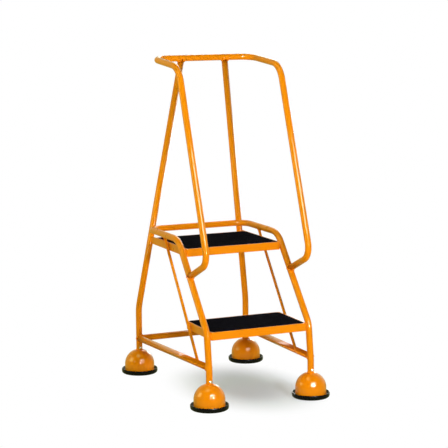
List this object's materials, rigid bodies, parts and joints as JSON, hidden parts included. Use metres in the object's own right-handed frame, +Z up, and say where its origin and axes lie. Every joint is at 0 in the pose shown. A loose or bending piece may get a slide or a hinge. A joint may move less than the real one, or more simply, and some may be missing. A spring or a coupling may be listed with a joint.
{
  "type": "rolling warehouse ladder",
  "caption": "Rolling warehouse steps: bent tube frame with handrail loop, lower tread and platform with rubber mats, domed feet hiding spring-loaded castors.",
  "frame": {"origin": "middle of the footprint, on the floor that the castor wheels stand on", "axes": "+Z up, +Y the way the climber faces, from the front feet to the rear feet, +X to the climber's right"},
  "size_m": [0.553, 0.709, 1.1501],
  "materials": {
    "orange_paint": "gloss orange powder coat on steel",
    "dome_paint": "gloss orange powder coat on pressed steel",
    "black_mat": "matt ribbed rubber",
    "black_rubber": "semi-matt moulded rubber",
    "zinc_steel": "bright zinc plate",
    "screw_steel": "zinc plated button head",
    "nylon": "natural nylon",
    "wheel_plastic": "dark grey moulded wheel"
  },
  "bodies": {
    "frame": {"step_frame_hoop": "orange_paint", "handrail_loop": "orange_paint", "rear_upright_left": "orange_paint", "rear_upright_right": "orange_paint", "lower_rail_left": "orange_paint", "lower_rail_right": "orange_paint", "rear_cross_bar": "orange_paint", "tread_rod_left": "orange_paint", "tread_rod_right": "orange_paint", "platform_tray": "orange_paint", "platform_mat": "black_mat", "tread_tray": "orange_paint", "tread_mat": "black_mat", "foot_dome_front_left": "dome_paint", "foot_ring_front_left": "black_rubber", "stem_socket_front_left": "zinc_steel", "fixing_screw_front_left": "screw_steel", "castor_spring_front_left": "zinc_steel", "foot_dome_front_right": "dome_paint", "foot_ring_front_right": "black_rubber", "stem_socket_front_right": "zinc_steel", "fixing_screw_front_right": "screw_steel", "castor_spring_front_right": "zinc_steel", "foot_dome_rear_left": "dome_paint", "foot_ring_rear_left": "black_rubber", "stem_socket_rear_left": "zinc_steel", "fixing_screw_rear_left": "screw_steel", "castor_spring_rear_left": "zinc_steel", "foot_dome_rear_right": "dome_paint", "foot_ring_rear_right": "black_rubber", "stem_socket_rear_right": "zinc_steel", "fixing_screw_rear_right": "screw_steel", "castor_spring_rear_right": "zinc_steel"},
    "stem_front_left": {"castor_stem_front_left": "zinc_steel", "stem_clip_front_left": "zinc_steel"},
    "fork_front_left": {"castor_fork_front_left": "zinc_steel", "castor_axle_front_left": "zinc_steel", "swivel_washer_front_left": "nylon"},
    "wheel_front_left": {"castor_wheel_front_left": "wheel_plastic"},
    "stem_front_right": {"castor_stem_front_right": "zinc_steel", "stem_clip_front_right": "zinc_steel"},
    "fork_front_right": {"castor_fork_front_right": "zinc_steel", "castor_axle_front_right": "zinc_steel", "swivel_washer_front_right": "nylon"},
    "wheel_front_right": {"castor_wheel_front_right": "wheel_plastic"},
    "stem_rear_left": {"castor_stem_rear_left": "zinc_steel", "stem_clip_rear_left": "zinc_steel"},
    "fork_rear_left": {"castor_fork_rear_left": "zinc_steel", "castor_axle_rear_left": "zinc_steel", "swivel_washer_rear_left": "nylon"},
    "wheel_rear_left": {"castor_wheel_rear_left": "wheel_plastic"},
    "stem_rear_right": {"castor_stem_rear_right": "zinc_steel", "stem_clip_rear_right": "zinc_steel"},
    "fork_rear_right": {"castor_fork_rear_right": "zinc_steel", "castor_axle_rear_right": "zinc_steel", "swivel_washer_rear_right": "nylon"},
    "wheel_rear_right": {"castor_wheel_rear_right": "wheel_plastic"}
  },
  "joints": [
    {"name": "castor_retract_front_left", "type": "slide", "parent": "frame", "child": "stem_front_left", "axis": [0, 0, 1], "range_m": [0, 0.005], "stiffness_N_per_m": 15000, "springref_m": -0.004, "deforming": ["castor_spring_front_left"]},
    {"name": "castor_swivel_front_left", "type": "hinge", "parent": "stem_front_left", "child": "fork_front_left", "pos_m": [-0.1875, -0.29, 0.0437], "axis": [0, 0, 1], "continuous": true},
    {"name": "wheel_spin_front_left", "type": "hinge", "parent": "fork_front_left", "child": "wheel_front_left", "pos_m": [-0.1875, -0.278, 0.019], "axis": [1, 0, 0], "continuous": true},
    {"name": "castor_retract_front_right", "type": "slide", "parent": "frame", "child": "stem_front_right", "axis": [0, 0, 1], "range_m": [0, 0.005], "stiffness_N_per_m": 15000, "springref_m": -0.004, "deforming": ["castor_spring_front_right"]},
    {"name": "castor_swivel_front_right", "type": "hinge", "parent": "stem_front_right", "child": "fork_front_right", "pos_m": [0.1875, -0.29, 0.0437], "axis": [0, 0, 1], "continuous": true},
    {"name": "wheel_spin_front_right", "type": "hinge", "parent": "fork_front_right", "child": "wheel_front_right", "pos_m": [0.1875, -0.278, 0.019], "axis": [1, 0, 0], "continuous": true},
    {"name": "castor_retract_rear_left", "type": "slide", "parent": "frame", "child": "stem_rear_left", "axis": [0, 0, 1], "range_m": [0, 0.005], "stiffness_N_per_m": 15000, "springref_m": -0.004, "deforming": ["castor_spring_rear_left"]},
    {"name": "castor_swivel_rear_left", "type": "hinge", "parent": "stem_rear_left", "child": "fork_rear_left", "pos_m": [-0.212, 0.29, 0.0437], "axis": [0, 0, 1], "continuous": true},
    {"name": "wheel_spin_rear_left", "type": "hinge", "parent": "fork_rear_left", "child": "wheel_rear_left", "pos_m": [-0.212, 0.302, 0.019], "axis": [1, 0, 0], "continuous": true},
    {"name": "castor_retract_rear_right", "type": "slide", "parent": "frame", "child": "stem_rear_right", "axis": [0, 0, 1], "range_m": [0, 0.005], "stiffness_N_per_m": 15000, "springref_m": -0.004, "deforming": ["castor_spring_rear_right"]},
    {"name": "castor_swivel_rear_right", "type": "hinge", "parent": "stem_rear_right", "child": "fork_rear_right", "pos_m": [0.212, 0.29, 0.0437], "axis": [0, 0, 1], "continuous": true},
    {"name": "wheel_spin_rear_right", "type": "hinge", "parent": "fork_rear_right", "child": "wheel_rear_right", "pos_m": [0.212, 0.302, 0.019], "axis": [1, 0, 0], "continuous": true}
  ]
}
